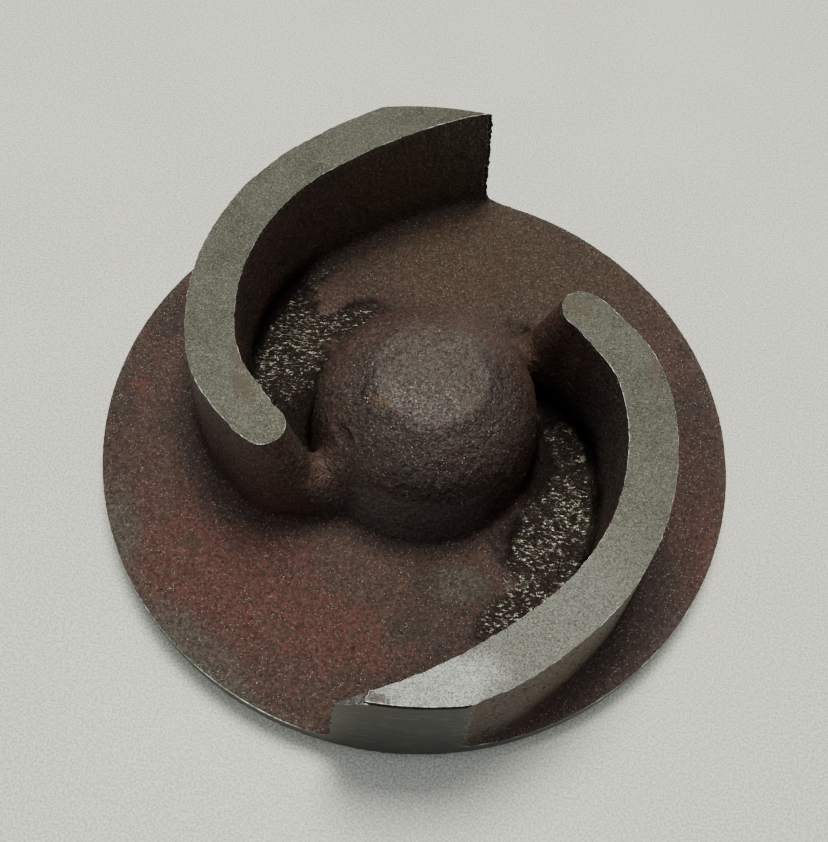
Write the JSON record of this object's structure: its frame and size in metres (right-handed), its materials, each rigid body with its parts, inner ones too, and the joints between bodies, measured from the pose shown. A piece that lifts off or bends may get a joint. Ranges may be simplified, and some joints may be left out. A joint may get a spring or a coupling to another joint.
{
  "type": "sewage pump impeller",
  "caption": "Semi-open sewage pump impeller: cast disc with tall backward-curved vanes, a closed domed hub and a blind shaft bore at the back.",
  "frame": {"origin": "centre of the back boss face, which seats on the shaft shoulder", "axes": "+Z along the shaft axis, from the back boss towards the domed hub and the vane tops; -Y is the side where the first vane ends at the rim"},
  "size_m": [0.22, 0.22, 0.062],
  "materials": {
    "primed_iron": "sand-cast grey iron with a thin dark red-brown primer, the outside diameter, vane tops and back turned bare"
  },
  "bodies": {
    "root": {"impeller_casting": "primed_iron"}
  },
  "joints": []
}
